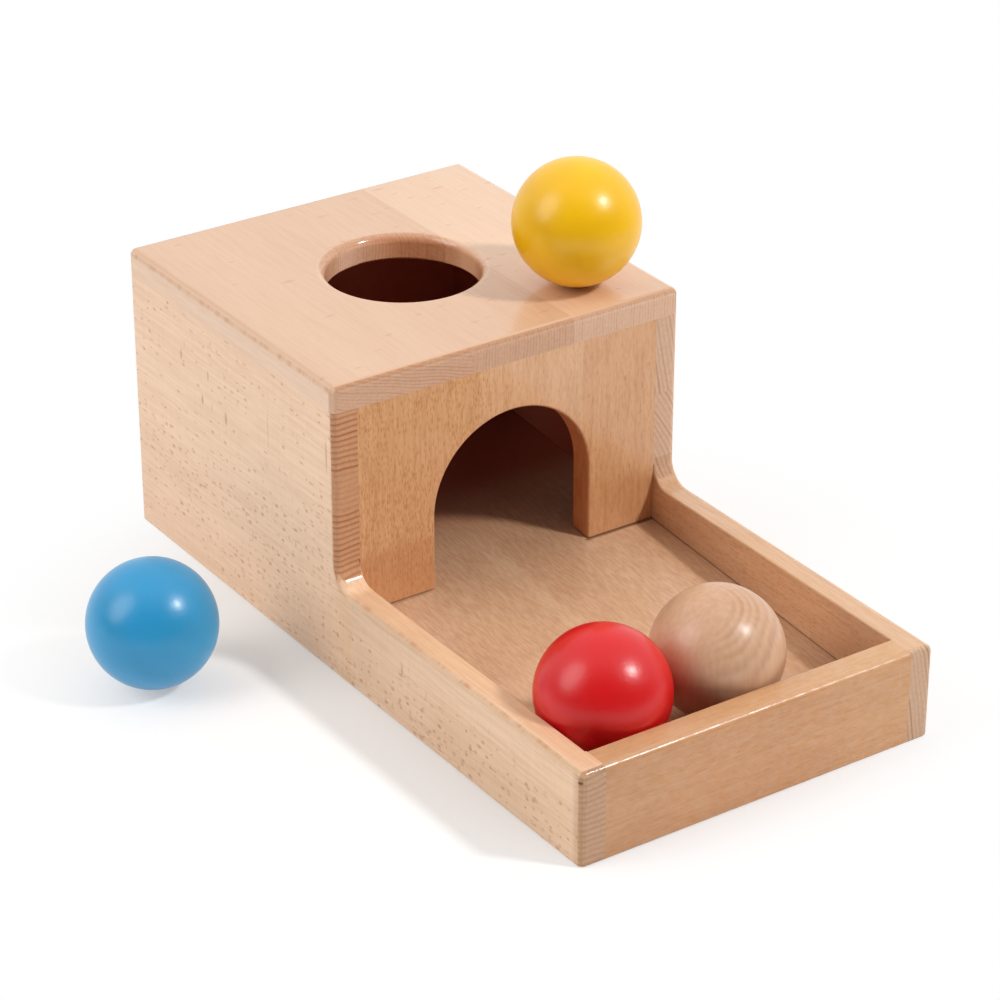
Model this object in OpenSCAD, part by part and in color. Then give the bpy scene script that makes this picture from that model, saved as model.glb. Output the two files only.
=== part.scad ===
/* [Overall] */
// Outside width of the box, left to right
body_w = 141; // [125:0.5:170]
// Outside length, from the tray front to the house back
body_l = 278; // [250:0.5:330]
// Height of the house, from the ground to its top face
body_h = 108.5; // [100:0.5:130]
// Length of the open tray, from its front face to the house front
tray_l = 141.5; // [120:0.5:160]
// Height of the tray walls above the ground
tray_h = 34.5; // [30:0.5:42]

/* [Boards] */
// Thickness of the solid wood boards
board_t = 9.5; // [8:0.25:12]
// Thickness of the front rail
rail_t = 10.75; // [9:0.25:13]
// Radius along the outer edges of the box
edge_r = 2.5; // [1:0.25:4]
// Radius along the edges at the ground
foot_r = 1; // [0.4:0.1:1]
// Radius along the inner edges of the tray, the arch and the hole's lower rim
ease_r = 0.8; // [0.4:0.1:1.2]
// Radius where each side steps down from the house to the tray
step_r = 8; // [5:0.5:14]

/* [Floor] */
// Thickness of the plywood floor
floor_t = 3; // [2.5:0.25:4]
// Slope of the floor in degrees, down towards the tray front
floor_slope = 4; // [2:0.1:5]
// Height of the floor's upper face where it meets the front rail
floor_front_z = 12.2; // [10:0.1:15]
// Depth of the grooves that hold the floor's four edges
groove_d = 4; // [2:0.25:5]
// Play between the floor and each face of its grooves
groove_gap = 0.1; // [0.05:0.05:0.3]
// Gap between the floor and the feet of the arch panel
foot_gap = 0.4; // [0.2:0.1:1]

/* [Openings] */
// Distance of the hole and the doorway from the middle of the box, to the right
opening_x = 1.15; // [-3:0.05:3]
// Bore of the round hole in the top
hole_d = 55; // [48:0.5:58]
// Radius of the rounded rim on top of the hole
hole_rim_r = 3; // [1:0.25:4]
// Width of the arched doorway
arch_w = 64; // [58:0.5:72]
// Height of the doorway's crown above the ground
arch_top = 81; // [76:0.5:88]

/* [Dowels] */
// Diameter of the hidden dowels
dowel_d = 5; // [4:0.25:6]
// Length of a dowel in the board whose face is drilled
dowel_shallow = 5; // [3:0.25:6]
// Length of a dowel in the board whose edge is drilled
dowel_deep = 12; // [8:0.5:16]
// Chamfer at the ends of a dowel
dowel_chamfer = 0.6; // [0.2:0.1:1]
// Play round a dowel in its hole
dowel_gap = 0.05; // [0.02:0.01:0.15]
// Empty depth past each end of a dowel
dowel_end_gap = 0.5; // [0.2:0.1:1]
// Distance of the end dowels from the house front and back
dowel_inset_y = 22; // [16:0.5:30]
// Distance of the dowels in the top from the side walls
dowel_inset_x = 16; // [13:0.5:22]
// Height of the lower panel dowels above the tray walls
panel_dowel_low = 12; // [10:0.5:16]
// Depth of the upper panel dowels under the top board
panel_dowel_high = 25; // [22:0.5:30]
// Depth of the upper rail dowel under the top of the tray wall
rail_dowel_top = 7.5; // [6:0.25:9]
// Spacing of the two dowels in each end of the front rail
rail_dowel_step = 8; // [7:0.25:9]

/* [Balls] */
// Diameter of the four balls
ball_d = 45; // [44.5:0.1:47]
// Gap between a ball at rest and what it lies against
ball_gap = 0.3; // [0.1:0.05:0.5]
// Distance of the yellow ball's centre from the right side of the box
yellow_in_x = 27; // [23:0.5:40]
// Distance of the yellow ball's centre behind the house front
yellow_in_y = 23.7; // [20:0.1:40]
// Distance of the blue ball's centre from the left side of the box
blue_out_x = 53; // [25:0.5:90]
// Distance of the blue ball's centre behind the house front
blue_in_y = 32.3; // [0:0.1:80]

/* [Hidden] */
$fn = 96;

// Margin by which a cutting tool overshoots the face that it cuts
over = 1;

// Planes of the box: the origin lies under the middle of the front rail
front_y = -rail_t / 2;
rail_y = front_y + rail_t;
house_y = front_y + tray_l;
back_y = front_y + body_l;
arch_back_y = house_y + board_t;
back_inner_y = back_y - board_t;
half_w = body_w / 2;
inner_x = half_w - board_t;
side_h = body_h - board_t;

// Floor: a sheet that fills its grooves less the play
floor_half_w = inner_x + groove_d - groove_gap;
floor_front_run = groove_d - groove_gap;
floor_back_run = (back_inner_y - rail_y) / cos(floor_slope) + groove_d - groove_gap;

// Openings
hole_y = (house_y + back_y) / 2;
arch_r = arch_w / 2;
arch_left_x = opening_x - arch_r;
arch_right_x = opening_x + arch_r;
arch_spring_z = arch_top - arch_r;

// Dowel places
top_dowel_y = [house_y + dowel_inset_y, hole_y, back_y - dowel_inset_y];
top_dowel_x = inner_x - dowel_inset_x;
side_mid_x = inner_x + board_t / 2;
arch_mid_y = house_y + board_t / 2;
back_mid_y = back_y - board_t / 2;
panel_dowel_z = [tray_h + panel_dowel_low, side_h - panel_dowel_high];
rail_dowel_z = [tray_h - rail_dowel_top, tray_h - rail_dowel_top - rail_dowel_step];

// Balls at rest
ball_r = ball_d / 2;
tray_ball_y = rail_y + ball_gap + ball_r;
tray_ball_z = floor_front_z + (tray_ball_y - rail_y) * tan(floor_slope) + (ball_r + ball_gap) / cos(floor_slope);
red_x = -inner_x + ball_gap + ball_r;
natural_x = red_x + ball_d + ball_gap;

// Colours
beech_pale = [0.91, 0.78, 0.65];
beech_warm = [0.82, 0.62, 0.43];
plywood = [0.74, 0.58, 0.44];
dowel_wood = [0.86, 0.72, 0.55];
ball_wood = [0.82, 0.66, 0.50];
paint_yellow = [0.94, 0.74, 0.13];
paint_blue = [0.20, 0.58, 0.80];
paint_red = [0.86, 0.14, 0.17];

// What a quarter round of radius r takes off a square corner at the origin
module corner_waste(r) {
    difference() {
        translate([-over, -over]) square(r + over);
        translate([r, r]) circle(r);
    }
}

// Rounds the corner of an outline at a point, the outline lying in the quadrant turned by angle
module outline_corner(at, angle, r) {
    translate(at) rotate(angle) corner_waste(r);
}

// Rounds the upper edge of a slab t thick along a straight run, the slab lying left of the run
module edge_run(from, to, r, t) {
    way = to - from;
    translate([from[0], from[1], t])
        rotate(atan2(way[1], way[0]))
            mirror([0, 0, 1])
                rotate([90, 0, 90])
                    linear_extrude(norm(way)) corner_waste(r);
}

// Rounds the upper edge of a slab t thick along an arc, the slab lying outside the arc
module edge_arc(centre, radius, start, sweep, r, t) {
    translate([centre[0], centre[1], 0])
        rotate(start)
            rotate_extrude(angle = sweep)
                translate([radius, t]) mirror([0, 1]) corner_waste(r);
}

// Rounds the upper corner of a slab t thick to a ball, between two rounded edges
module edge_corner(at, angle, r, t) {
    translate([at[0], at[1], t])
        rotate(angle)
            difference() {
                translate([-over, -over, -r]) cube(r + over);
                translate([r, r, -r]) sphere(r);
            }
}

// Rounds the ground edge round an upright rounded corner, the solid lying in the quadrant turned by angle
module foot_corner(at, angle) {
    translate(at)
        rotate(angle)
            translate([edge_r, edge_r, 0])
                rotate(180)
                    rotate_extrude(angle = 90)
                        translate([edge_r, 0]) mirror([1, 0]) corner_waste(foot_r);
}

// Turns an outline drawn in Y and Z into a board that grows along X
module board_along_x(length) {
    rotate([90, 0, 90]) linear_extrude(length) children();
}

// The floor sheet, grown by a gap on every face to cut its grooves
module floor_sheet(gap) {
    translate([0, rail_y, floor_front_z])
        rotate([floor_slope, 0, 0])
            translate([-floor_half_w - gap, -floor_front_run - gap, -floor_t - gap])
                cube([
                    2 * (floor_half_w + gap),
                    floor_front_run + floor_back_run + 2 * gap,
                    floor_t + 2 * gap
                ]);
}

// Everything below the floor's upper face, raised by a gap
module below_floor(gap) {
    translate([0, rail_y, floor_front_z])
        rotate([floor_slope, 0, 0])
            translate([-half_w, -body_l, -body_h])
                cube([body_w, 2 * body_l, body_h + gap]);
}

// A dowel across a joint at z = 0, deep below it and shallow above it
module dowel() {
    r = dowel_d / 2;
    c = dowel_chamfer;
    rotate_extrude()
        polygon([
            [0, -dowel_deep], [r - c, -dowel_deep], [r, -dowel_deep + c],
            [r, dowel_shallow - c], [r - c, dowel_shallow], [0, dowel_shallow]
        ]);
}

// The hole for a dowel, in both boards at once
module dowel_hole() {
    translate([0, 0, -dowel_deep - dowel_end_gap])
        cylinder(h = dowel_deep + dowel_shallow + 2 * dowel_end_gap, d = dowel_d + 2 * dowel_gap);
}

// Places of the dowels, for the right side of the box
module at_top_side() {
    for (y = top_dowel_y)
        translate([side_mid_x, y, side_h]) children();
}

module at_arch_side() {
    for (z = panel_dowel_z)
        translate([inner_x, arch_mid_y, z]) rotate([0, 90, 0]) children();
}

module at_back_side() {
    for (z = panel_dowel_z)
        translate([inner_x, back_mid_y, z]) rotate([0, 90, 0]) children();
}

module at_rail_side() {
    for (z = rail_dowel_z)
        translate([inner_x, 0, z]) rotate([0, 90, 0]) children();
}

// Places of the dowels between the top and a cross panel
module at_top_panel(y) {
    for (x = [-top_dowel_x, top_dowel_x])
        translate([x, y, side_h]) children();
}

// Both sides of the box at once
module both_sides() {
    children();
    mirror([1, 0, 0]) children();
}

// Outline of a side in Y and Z: the house, the low tray wall and the round step between them
module side_outline() {
    step_centre = [house_y - step_r, tray_h + step_r];
    difference() {
        union() {
            translate([front_y, 0]) square([body_l, tray_h]);
            translate([house_y, 0]) square([body_l - tray_l, side_h]);
            difference() {
                translate([house_y - step_r, tray_h - over]) square([step_r + over, step_r + over]);
                translate(step_centre) circle(step_r);
            }
        }
        outline_corner([front_y, 0], 0, foot_r);
        outline_corner([back_y, 0], 90, foot_r);
        outline_corner([front_y, tray_h], -90, edge_r);
    }
}

// The right side, drawn flat with its outer face up
module side_slab() {
    step_centre = [house_y - step_r, tray_h + step_r];
    step_foot = [house_y - step_r, tray_h];
    difference() {
        linear_extrude(board_t) side_outline();
        edge_run([front_y, 0], [back_y, 0], foot_r, board_t);
        edge_run([back_y, 0], [back_y, side_h], edge_r, board_t);
        edge_run([house_y, side_h], [house_y, tray_h + step_r], edge_r, board_t);
        edge_arc(step_centre, step_r, -90, 90, edge_r, board_t);
        edge_run(step_foot, [front_y, tray_h], edge_r, board_t);
        edge_run([front_y, tray_h], [front_y, 0], edge_r, board_t);
        edge_corner([front_y, tray_h], -90, edge_r, board_t);
        mirror([0, 0, 1]) edge_run(step_foot, [rail_y, tray_h], ease_r, 0);
        mirror([0, 0, 1]) edge_arc(step_centre, step_r, -90, 90, ease_r, 0);
    }
}

module side_board() {
    difference() {
        translate([inner_x, 0, 0]) rotate([90, 0, 90]) side_slab();
        foot_corner([half_w, front_y], 90);
        foot_corner([half_w, back_y], 180);
        floor_sheet(groove_gap);
        at_top_side() dowel_hole();
        at_arch_side() dowel_hole();
        at_back_side() dowel_hole();
        at_rail_side() dowel_hole();
    }
}

module left_side() {
    color(beech_pale) mirror([1, 0, 0]) side_board();
}

module right_side() {
    color(beech_pale) side_board();
}

// The top lies over the sides and the cross panels, with the ball hole in its middle
module top_panel() {
    corners = [[half_w, house_y], [half_w, back_y], [-half_w, back_y], [-half_w, house_y]];
    color(beech_pale)
        difference() {
            translate([0, 0, side_h])
                difference() {
                    translate([-half_w, house_y, 0]) cube([body_w, body_l - tray_l, board_t]);
                    for (i = [0:3]) {
                        translate([0, 0, -over])
                            linear_extrude(board_t + 2 * over)
                                outline_corner(corners[i], 90 * (i + 1), edge_r);
                        edge_run(corners[(i + 3) % 4], corners[i], edge_r, board_t);
                        edge_corner(corners[i], 90 * (i + 1), edge_r, board_t);
                    }
                    translate([opening_x, hole_y, -over]) cylinder(h = board_t + 2 * over, d = hole_d);
                    edge_arc([opening_x, hole_y], hole_d / 2, 0, 360, hole_rim_r, board_t);
                    mirror([0, 0, 1]) edge_arc([opening_x, hole_y], hole_d / 2, 0, 360, ease_r, 0);
                }
            both_sides() at_top_side() dowel_hole();
            at_top_panel(arch_mid_y) dowel_hole();
            at_top_panel(back_mid_y) dowel_hole();
        }
}

// The doorway's outline, from below the ground to its crown
module arch_outline() {
    translate([opening_x, arch_spring_z]) circle(arch_r);
    translate([arch_left_x, -over]) square([arch_w, arch_spring_z + over]);
}

// The panel with the doorway stands between the sides on the sloping floor
module arch_panel() {
    color(beech_warm)
        difference() {
            translate([0, arch_back_y, 0])
                rotate([90, 0, 0])
                    difference() {
                        linear_extrude(board_t)
                            difference() {
                                translate([-inner_x, 0]) square([2 * inner_x, side_h]);
                                arch_outline();
                            }
                        edge_run([arch_left_x, 0], [arch_left_x, arch_spring_z], ease_r, board_t);
                        edge_run([arch_right_x, arch_spring_z], [arch_right_x, 0], ease_r, board_t);
                        edge_arc([opening_x, arch_spring_z], arch_r, 0, 180, ease_r, board_t);
                    }
            below_floor(foot_gap);
            both_sides() at_arch_side() dowel_hole();
            at_top_panel(arch_mid_y) dowel_hole();
        }
}

// The back closes the house between the sides
module back_panel() {
    color(beech_pale)
        difference() {
            translate([-inner_x, 0, 0])
                board_along_x(2 * inner_x)
                    difference() {
                        translate([back_inner_y, 0]) square([board_t, side_h]);
                        outline_corner([back_y, 0], 90, foot_r);
                    }
            floor_sheet(groove_gap);
            both_sides() at_back_side() dowel_hole();
            at_top_panel(back_mid_y) dowel_hole();
        }
}

// The rail closes the tray's front between the sides
module front_rail() {
    color(beech_warm)
        difference() {
            translate([-inner_x, 0, 0])
                board_along_x(2 * inner_x)
                    difference() {
                        translate([front_y, 0]) square([rail_t, tray_h]);
                        outline_corner([front_y, 0], 0, foot_r);
                        outline_corner([front_y, tray_h], -90, edge_r);
                        outline_corner([rail_y, tray_h], 180, ease_r);
                    }
            floor_sheet(groove_gap);
            both_sides() at_rail_side() dowel_hole();
        }
}

// One sheet runs under the doorway from the back panel down to the front rail
module floor_panel() {
    color(plywood) floor_sheet(0);
}

module top_dowels_left() {
    color(dowel_wood) mirror([1, 0, 0]) at_top_side() dowel();
}

module top_dowels_right() {
    color(dowel_wood) at_top_side() dowel();
}

module top_dowels_arch() {
    color(dowel_wood) at_top_panel(arch_mid_y) dowel();
}

module top_dowels_back() {
    color(dowel_wood) at_top_panel(back_mid_y) dowel();
}

module arch_dowels_left() {
    color(dowel_wood) mirror([1, 0, 0]) at_arch_side() dowel();
}

module arch_dowels_right() {
    color(dowel_wood) at_arch_side() dowel();
}

module back_dowels_left() {
    color(dowel_wood) mirror([1, 0, 0]) at_back_side() dowel();
}

module back_dowels_right() {
    color(dowel_wood) at_back_side() dowel();
}

module rail_dowels_left() {
    color(dowel_wood) mirror([1, 0, 0]) at_rail_side() dowel();
}

module rail_dowels_right() {
    color(dowel_wood) at_rail_side() dowel();
}

// Yellow lies on the house roof, near its front right corner
module ball_yellow() {
    color(paint_yellow)
        translate([half_w - yellow_in_x, house_y + yellow_in_y, body_h + ball_gap + ball_r]) sphere(ball_r);
}

// Blue lies on the ground to the left of the house
module ball_blue() {
    color(paint_blue) translate([-half_w - blue_out_x, house_y + blue_in_y, ball_r]) sphere(ball_r);
}

// Red lies in the tray's front left corner
module ball_red() {
    color(paint_red) translate([red_x, tray_ball_y, tray_ball_z]) sphere(ball_r);
}

// The plain wooden ball lies beside red against the front rail
module ball_natural() {
    color(ball_wood) translate([natural_x, tray_ball_y, tray_ball_z]) sphere(ball_r);
}

left_side();
right_side();
top_panel();
arch_panel();
back_panel();
front_rail();
floor_panel();
top_dowels_left();
top_dowels_right();
top_dowels_arch();
top_dowels_back();
arch_dowels_left();
arch_dowels_right();
back_dowels_left();
back_dowels_right();
rail_dowels_left();
rail_dowels_right();
ball_yellow();
ball_blue();
ball_red();
ball_natural();
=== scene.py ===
import math
from dataclasses import dataclass

import bpy
from mathutils import Matrix, Vector


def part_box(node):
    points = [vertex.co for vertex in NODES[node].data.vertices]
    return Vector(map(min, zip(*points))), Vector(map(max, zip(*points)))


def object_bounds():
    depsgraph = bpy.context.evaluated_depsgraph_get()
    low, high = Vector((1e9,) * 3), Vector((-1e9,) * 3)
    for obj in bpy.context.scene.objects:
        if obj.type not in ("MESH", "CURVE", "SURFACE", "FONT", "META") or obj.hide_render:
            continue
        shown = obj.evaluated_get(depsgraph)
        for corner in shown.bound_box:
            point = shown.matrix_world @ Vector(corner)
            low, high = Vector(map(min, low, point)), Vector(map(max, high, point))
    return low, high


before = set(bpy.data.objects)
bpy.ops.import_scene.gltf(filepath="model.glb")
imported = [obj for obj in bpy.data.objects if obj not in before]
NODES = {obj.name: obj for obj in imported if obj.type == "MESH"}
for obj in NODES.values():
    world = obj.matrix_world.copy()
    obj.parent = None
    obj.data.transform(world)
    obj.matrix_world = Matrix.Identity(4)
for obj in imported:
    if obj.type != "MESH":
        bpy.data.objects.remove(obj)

# The box of the bare CAD model, which centres the floor
CAD_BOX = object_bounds()
MM = 0.001

# Places on the part, in metres, read from the imported pieces' boxes
LEFT_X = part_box("left_side")[0].x
INNER_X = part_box("right_side")[0].x
FRONT_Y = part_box("left_side")[0].y
HOUSE_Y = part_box("top_panel")[0].y
BACK_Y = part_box("top_panel")[1].y
ROOM_FRONT_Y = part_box("arch_panel")[1].y
ROOM_BACK_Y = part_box("back_panel")[0].y
ROOM_TOP_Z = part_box("top_panel")[0].z
ROOF_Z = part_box("top_panel")[1].z
WALL_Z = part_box("front_rail")[1].z
HOLE_X = 1.15 * MM
HOLE_Y = (HOUSE_Y + BACK_Y) / 2
HOLE_RADIUS = 27.5 * MM
ARCH_RADIUS = 32.0 * MM

# Camera: where it stands and how it looks, from the photograph's perspective
CAMERA_PLACE = Vector((-608.7, -750.7, 620.0)) * MM
CAMERA_AZIMUTH = math.radians(34.276)
CAMERA_ELEVATION = math.radians(28.061)
CAMERA_ROLL = math.radians(0.067)
CAMERA_LENS = 127.84
CAMERA_SENSOR = 36.0
CAMERA_CLIP = 0.01

# Light: a small bright lamp at the front right, a tall soft one at the left, and a bright studio behind
LAMP_AIM = Vector((0.0, 120.0, 40.0)) * MM
LAMP_DISTANCE = 2.4
KEY_TOWARDS = Vector((0.441, -0.555, 0.705))
KEY_SIZE = (0.30, 0.30)
KEY_SHARE = 0.55
SOFT_TOWARDS = Vector((-0.786, 0.205, 0.582))
SOFT_SIZE = (1.4, 2.0)
SOFT_SHARE = 0.43
STUDIO_TOWARDS = Vector((0.45, 0.66, 0.60))
STUDIO_BACK = 1.0
STUDIO_FILL = 0.85
STUDIO_FRONT = 0.08
STUDIO_SPAN = (-0.25, 0.65)
WHITE = (1.0, 1.0, 1.0, 1.0)

# Floor: white paper that keeps the shadows near the object and fades to pure white away from it
FLOOR_RADIUS = 0.7
FLOOR_SIDES = 96
FLOOR_DROP = 0.05 * MM
FLOOR_PAPER = (0.94, 0.92, 0.905, 1.0)
FLOOR_FADE_SHIFT = (-0.018, 0.024, 0.0)
FLOOR_FADE_FROM = 0.08
FLOOR_FADE_TO = 0.195
FLOOR_GLOW_NEAR = 0.22

# How strongly a change of tone works on red, green and blue in wood
WARMTH = (0.7, 1.15, 1.5)
# The span that a noise mostly keeps to
NOISE_SPAN = (0.3, 0.7)
# Rightwards as the photograph shows it
SEEN_RIGHT = (0.83, -0.56)


def srgb(red, green, blue):
    """A colour written in the usual 0 to 255 steps, as the linear values that shaders take."""
    def linear(step):
        share = step / 255
        return share / 12.92 if share <= 0.04045 else ((share + 0.055) / 1.055) ** 2.4
    return (linear(red), linear(green), linear(blue), 1.0)


def span(place, offsets):
    """The places at the given millimetres from a place."""
    return [place + offset * MM for offset in offsets]


class Nodes:
    """A node tree in the making: most methods add nodes and give back an output."""

    def __init__(self, tree):
        self.tree = tree
        self.coordinates = self.add("ShaderNodeTexCoord").outputs

    def add(self, kind, inputs=(), **settings):
        node = self.tree.nodes.new(kind)
        for name, value in settings.items():
            setattr(node, name, value)
        for socket, value in dict(inputs).items():
            self.join(value, node.inputs[socket])
        return node

    def join(self, value, socket):
        if isinstance(value, bpy.types.NodeSocket):
            self.tree.links.new(value, socket)
        else:
            socket.default_value = value

    def show(self, output, share, first, second):
        """Sends a mix of two shaders to the tree's output."""
        mixed = self.add("ShaderNodeMixShader", {0: share, 1: first.outputs[0], 2: second.outputs[0]})
        self.join(mixed.outputs[0], self.tree.nodes[output].inputs["Surface"])

    def math(self, operation, first, second=0.0):
        return self.add("ShaderNodeMath", {0: first, 1: second}, operation=operation).outputs[0]

    def plus(self, first, second):
        return self.math("ADD", first, second)

    def minus(self, first, second):
        return self.math("SUBTRACT", first, second)

    def product(self, *values):
        total = values[0]
        for value in values[1:]:
            total = self.math("MULTIPLY", total, value)
        return total

    def ramp(self, value, low, high, start=0.0, end=1.0):
        """Runs softly from start to end while the value goes from low to high."""
        inputs = {0: value, 1: low, 2: high, 3: start, 4: end}
        return self.add("ShaderNodeMapRange", inputs, interpolation_type="SMOOTHSTEP").outputs[0]

    def fall(self, value, low, high):
        """Falls softly from 1 to 0 while the value goes from low to high."""
        return self.ramp(value, low, high, 1.0, 0.0)

    def band(self, value, low, high, soft):
        """1 between low and high, falling softly to 0 outside."""
        return self.product(self.ramp(value, low - soft, low), self.fall(value, high, high + soft))

    def spread(self, value, low, high, start=0.0, end=1.0):
        """Runs evenly from start to end while the value goes from low to high."""
        return self.add("ShaderNodeMapRange", {0: value, 1: low, 2: high, 3: start, 4: end}).outputs[0]

    def vary(self, noise, start, end):
        """Runs softly from start to end over the span that a noise mostly keeps to."""
        return self.ramp(noise, *NOISE_SPAN, start, end)

    def mix(self, share, first, second, blend="MIX"):
        node = self.add("ShaderNodeMix", data_type="RGBA", blend_type=blend)
        for index, value in ((0, share), (6, first), (7, second)):
            self.join(value, node.inputs[index])
        return node.outputs[2]

    def shaded(self, colour, tone):
        """The colour, made lighter or darker by a tone round 1, and warmer as it darkens."""
        gains = self.moved(self.scaled(self.minus(tone, 1.0), WARMTH), (1.0, 1.0, 1.0))
        return self.mix(1.0, colour, gains, "MULTIPLY")

    def tinted(self, share, colour, gains):
        """The colour with its red, green and blue multiplied, where the share is 1."""
        return self.mix(share, colour, (*gains, 1.0), "MULTIPLY")

    def vectors(self, operation, first, second=(0.0, 0.0, 0.0)):
        return self.add("ShaderNodeVectorMath", {0: first, 1: second}, operation=operation).outputs

    def scaled(self, vector, factors):
        return self.vectors("MULTIPLY", vector, factors)[0]

    def moved(self, vector, offset):
        return self.vectors("ADD", vector, offset)[0]

    def length(self, vector):
        return self.vectors("LENGTH", vector)["Value"]

    def towards(self, vector, direction):
        """How far a vector reaches in a direction."""
        return self.vectors("DOT_PRODUCT", vector, direction)["Value"]

    def parts(self, vector):
        return self.add("ShaderNodeSeparateXYZ", {0: vector}).outputs

    def vector(self, x, y, z):
        return self.add("ShaderNodeCombineXYZ", {0: x, 1: y, 2: z}).outputs[0]

    def noise(self, vector, detail=2.0, roughness=0.5):
        inputs = {"Vector": vector, "Scale": 1.0, "Detail": detail, "Roughness": roughness}
        return self.add("ShaderNodeTexNoise", inputs).outputs[0]

    def streaks(self, space, waves, **settings):
        """Noise with so many waves in a metre along the grain and across it."""
        along, across = waves
        return self.noise(self.scaled(space, (along, across, across)), **settings)

    def grains(self, space, waves, **settings):
        """Noise with so many waves in a metre, the same in all directions."""
        return self.streaks(space, (waves, waves), **settings)

    def breaks(self, along, waves, detail):
        """Noise that changes along the grain only."""
        return self.noise(self.vector(self.product(along, waves), 0.0, 0.0), detail=detail, roughness=0.7)

    def random(self, value):
        """A random share for each value."""
        return self.add("ShaderNodeTexWhiteNoise", {"W": value}, noise_dimensions="1D").outputs["Value"]

    def steps(self, value, stops):
        """A colour for each stretch of the value, each stop giving where a stretch starts."""
        node = self.add("ShaderNodeValToRGB", {0: value})
        node.color_ramp.interpolation = "CONSTANT"
        elements = node.color_ramp.elements
        while len(elements) < len(stops):
            elements.new(1.0)
        for element, (start, colour) in zip(elements, stops):
            element.position = start
            element.color = (*colour, 1.0)
        return node.outputs[0]

    def bump(self, height, strength, depth):
        inputs = {"Height": height, "Strength": strength, "Distance": depth}
        return self.add("ShaderNodeBump", inputs).outputs[0]


class Shader(Nodes):
    """A material in the making, with the surface that it starts with."""

    def __init__(self, name):
        self.material = bpy.data.materials.new(name)
        self.material.use_nodes = True
        super().__init__(self.material.node_tree)
        self.surface = self.tree.nodes["Principled BSDF"]
        self.normal = self.coordinates["Normal"]

    def set(self, **values):
        """Sets inputs of the surface: underscores in a name stand for spaces."""
        for name, value in values.items():
            self.join(value, self.surface.inputs[name.replace("_", " ")])

    def facing(self, axis):
        """How far the surface faces along an object axis, either way."""
        return self.math("ABSOLUTE", self.parts(self.normal)[axis])


@dataclass(frozen=True)
class Stave:
    """One glued strip of a board. Lengths are in millimetres."""
    start: float              # where it starts across the face
    shade: float = 1.0        # its tone against the board's tint
    rings: float = 0.5        # strength of the ring lines on its ends
    turn: float = 0.0         # degrees from lines across the thickness to lines along the face


@dataclass(frozen=True)
class Flecks:
    """Small dark marks, at most one in each cell of a board. Lengths are in millimetres."""
    size: tuple               # length along the grain and width across it
    cell: tuple               # cell along the grain and across it
    share: float              # share of the cells that hold one
    strength: float
    dense: tuple = (-200.0, -199.0, 1.0, 1.0)   # two places across, and the density at each
    bare: tuple = ()          # a stretch along and across that holds none


@dataclass(frozen=True)
class Board:
    """How one solid wood board looks. Lengths are in millimetres."""
    axes: str                 # object axes along the grain, across the face and through the board
    tint: tuple               # colour of the long grain
    end_tint: tuple           # colour of the end grain
    staves: tuple
    flecks: tuple
    fleck_tint: tuple
    pores: tuple              # length, width and strength of the fine dashes
    ring_step: float = 1.5    # distance between ring lines on the ends
    shift: tuple = (0.0, 0.0, 0.0)   # moves the grain, in metres, so that no two boards are alike
    ends: tuple = (0.15, 0.38)   # how far the surface faces the grain where the end grain starts and is full
    round_shade_tone: float = 0.92     # tone of the end grain on the rounded edges, partly its own darker colour and partly painted shade
    fibre: float = 0.08          # strength of the fine lines along the grain
    end_coat: float = 0.3        # how much lacquer shines on the end grain
    gloss: float = 0.12          # roughness of the lacquer
    relief: float = 0.10         # strength of the fine relief
    rays: float = 0.0            # strength of the fine lines across the grain
    faint_ring: float = 0.25     # strength of the faintest ring line against the strongest


@dataclass(frozen=True)
class Mark:
    """One dark mark on a side board, an oval in the face. Lengths are in millimetres."""
    along: float
    height: float
    size: tuple               # along the grain and up the face
    strength: float


# Wood colours: faces, ends, flecks, ring lines, edge lines and the painted shade inside the house
SIDE_TINT = srgb(242, 199, 160)
RIGHT_TINT = srgb(220, 172, 131)
TOP_TINT = srgb(219, 177, 143)
FRONT_TINT = srgb(229, 176, 127)
RAIL_TINT = srgb(205, 150, 104)
SIDE_END_TINT = srgb(215, 162, 122)
RIGHT_END_TINT = srgb(224, 188, 158)
TOP_END_TINT = srgb(223, 183, 153)
BROWN_FLECK = srgb(192, 124, 66)
ORANGE_FLECK = srgb(190, 116, 20)
PINK_FLECK = srgb(204, 136, 100)
DARK_FLECK = srgb(156, 88, 40)
RING_TINT = srgb(164, 84, 22)
EDGE_TINT = srgb(204, 144, 96)
# Painted shade inside the house, deeper towards its back
INSIDE_SHADE_TINT = srgb(132, 50, 30)
DEEP_SHADE_TINT = srgb(196, 112, 90)

# Flecks, and the stretches of the left side that have none of a kind
WALL_BARE = (-20.0, 130.0, 22.5, 36.0)
HOUSE_BARE = (132.0, 400.0, -20.0, 120.0)
LOW_DOTS = Flecks((1.8, 1.2), (4.8, 3.6), 0.48, 0.72, (54.0, 72.0, 1.0, 0.35), WALL_BARE)
LOW_DASHES = Flecks((2.8, 0.8), (6.0, 2.8), 0.42, 0.56, (50.0, 75.0, 1.0, 0.4), WALL_BARE)
TRAY_DOTS = Flecks((2.2, 1.3), (4.6, 3.4), 0.45, 0.85, (8.0, 19.0, 1.0, 0.0), HOUSE_BARE)
HIGH_DASHES = Flecks((0.9, 3.2), (9.0, 10.0), 0.16, 0.48)
RIGHT_DASHES = Flecks((2.2, 0.5), (3.0, 1.2), 0.85, 0.34)
TOP_DASHES = Flecks((1.2, 4.2), (8.0, 10.0), 0.36, 0.5, (-20.0, 20.0, 0.35, 1.4))
FRONT_DASHES = Flecks((2.0, 0.5), (2.5, 0.85), 0.9, 0.55, (-14.0, -6.0, 1.0, 0.04))
SOFT_DASHES = Flecks((2.2, 0.5), (2.8, 0.9), 0.75, 0.26)
RAIL_DASHES = Flecks((2.6, 0.5), (4.4, 1.3), 0.5, 0.34)

# Where the arch panel's middle stave starts and ends across the face, in millimetres
ARCH_SEAMS = (-12.9, 30.0)

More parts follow.
